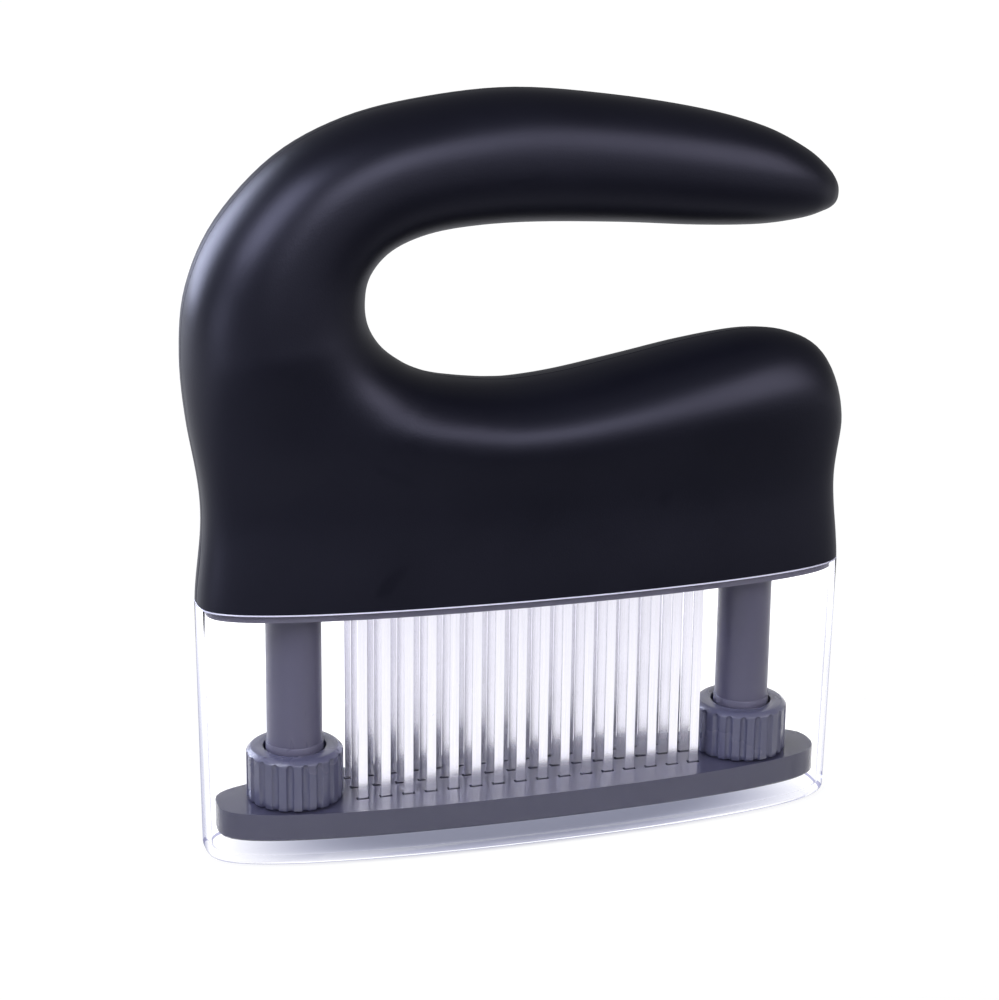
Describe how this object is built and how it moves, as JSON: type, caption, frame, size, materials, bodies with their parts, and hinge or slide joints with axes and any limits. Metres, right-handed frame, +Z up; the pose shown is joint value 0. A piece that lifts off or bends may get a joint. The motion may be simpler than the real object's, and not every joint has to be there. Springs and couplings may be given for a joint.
{
  "type": "blade meat tenderizer",
  "caption": "Hand-held blade tenderizer with a C-shaped handle, rows of narrow blades, a sprung foot plate on posts and a clear push-on cover.",
  "frame": {"origin": "centre of the underside of the cover, on which the tool stands", "axes": "+Z up, the way the foot plate moves into the handle; +X towards the open end of the handle; -Y towards the front"},
  "size_m": [0.1515, 0.0364, 0.167],
  "materials": {
    "front_handle_shell": "satin",
    "rear_handle_shell": "satin",
    "shell_screws": "satin",
    "housing_base": "satin",
    "base_screws": "satin",
    "blade_holder": "satin",
    "blade_clamp_plate": "satin",
    "clamp_screws": "satin",
    "front_blade_row": "bright",
    "middle_blade_row": "bright",
    "rear_blade_row": "bright",
    "left_post": "satin gloss",
    "right_post": "satin gloss",
    "left_stop_ring": "satin",
    "right_stop_ring": "satin",
    "left_spring": "bright",
    "right_spring": "bright",
    "left_spring_guide": "satin",
    "right_spring_guide": "satin",
    "foot_plate": "gloss",
    "left_nut": "satin gloss",
    "right_nut": "satin gloss",
    "left_nut_washer": "satin",
    "right_nut_washer": "satin",
    "clear_cover": "clear gloss"
  },
  "bodies": {
    "handle": {"front_handle_shell": "front_handle_shell", "rear_handle_shell": "rear_handle_shell", "shell_screws": "shell_screws", "housing_base": "housing_base", "base_screws": "base_screws", "blade_holder": "blade_holder", "blade_clamp_plate": "blade_clamp_plate", "clamp_screws": "clamp_screws", "front_blade_row": "front_blade_row", "middle_blade_row": "middle_blade_row", "rear_blade_row": "rear_blade_row", "left_spring": "left_spring", "right_spring": "right_spring", "left_spring_guide": "left_spring_guide", "right_spring_guide": "right_spring_guide"},
    "foot": {"foot_plate": "foot_plate", "left_post": "left_post", "right_post": "right_post", "left_stop_ring": "left_stop_ring", "right_stop_ring": "right_stop_ring"},
    "left_washer": {"left_nut_washer": "left_nut_washer"},
    "left_nut": {"left_nut": "left_nut"},
    "right_washer": {"right_nut_washer": "right_nut_washer"},
    "right_nut": {"right_nut": "right_nut"},
    "cover": {"clear_cover": "clear_cover"}
  },
  "joints": [
    {"name": "foot_slide", "type": "slide", "parent": "handle", "child": "foot", "axis": [0, 0, 1], "range_m": [0, 0.03], "stiffness_N_per_m": 800, "springref_m": -0.01, "deforming": ["left_spring", "right_spring"]},
    {"name": "cover_slide", "type": "slide", "parent": "handle", "child": "cover", "axis": [0, 0, -1], "range_m": [0, 0.06]},
    {"name": "left_nut_lift", "type": "slide", "parent": "foot", "child": "left_washer", "axis": [0, 0, 1], "range_m": [0, 0.002]},
    {"name": "left_nut_turn", "type": "hinge", "parent": "left_washer", "child": "left_nut", "pos_m": [-0.05335, 0, 0.017], "axis": [0, 0, 1], "range_deg": [0, 360]},
    {"name": "right_nut_lift", "type": "slide", "parent": "foot", "child": "right_washer", "axis": [0, 0, 1], "range_m": [0, 0.002]},
    {"name": "right_nut_turn", "type": "hinge", "parent": "right_washer", "child": "right_nut", "pos_m": [0.05335, 0, 0.017], "axis": [0, 0, 1], "range_deg": [0, 360]}
  ],
  "couplings": [
    {"joint": "left_nut_lift", "follows": "left_nut_turn", "m_per_rad": 0.00031831},
    {"joint": "right_nut_lift", "follows": "right_nut_turn", "m_per_rad": 0.00031831}
  ]
}
